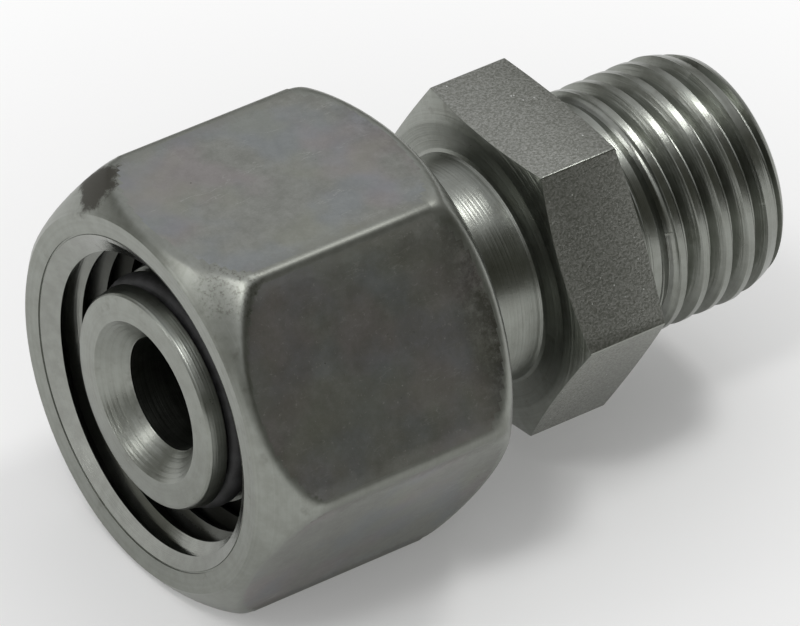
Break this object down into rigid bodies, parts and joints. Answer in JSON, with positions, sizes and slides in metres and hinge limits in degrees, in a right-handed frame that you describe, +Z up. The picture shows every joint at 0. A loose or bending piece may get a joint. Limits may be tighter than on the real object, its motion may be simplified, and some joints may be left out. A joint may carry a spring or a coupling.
{
  "type": "swivel adapter",
  "caption": "Straight hydraulic swivel adapter: a free-turning hexagon nut on a tapered sealing nose, with a wrench hexagon and a threaded stud.",
  "frame": {"origin": "on the surface that the nut's bottom flat rests on, under the middle of the overall length", "axes": "+X along the axis from the mouth of the swivel nut to the tip of the stud, +Z up through the nut's top flat, +Y to the side away from the camera"},
  "size_m": [0.0376, 0.0252, 0.022],
  "materials": {
    "nut_steel": "zinc plated and passivated, satin",
    "wire_steel": "bright drawn wire",
    "body_steel": "zinc plated over turned steel, satin",
    "seal_rubber": "matte black"
  },
  "bodies": {
    "nut": {"swivel_nut": "nut_steel", "retaining_wire": "wire_steel"},
    "stud": {"stud_body": "body_steel", "cone_o_ring": "seal_rubber"}
  },
  "joints": [
    {"name": "swivel", "type": "hinge", "parent": "nut", "child": "stud", "pos_m": [0, 0, 0.011], "axis": [1, 0, 0], "continuous": true}
  ]
}
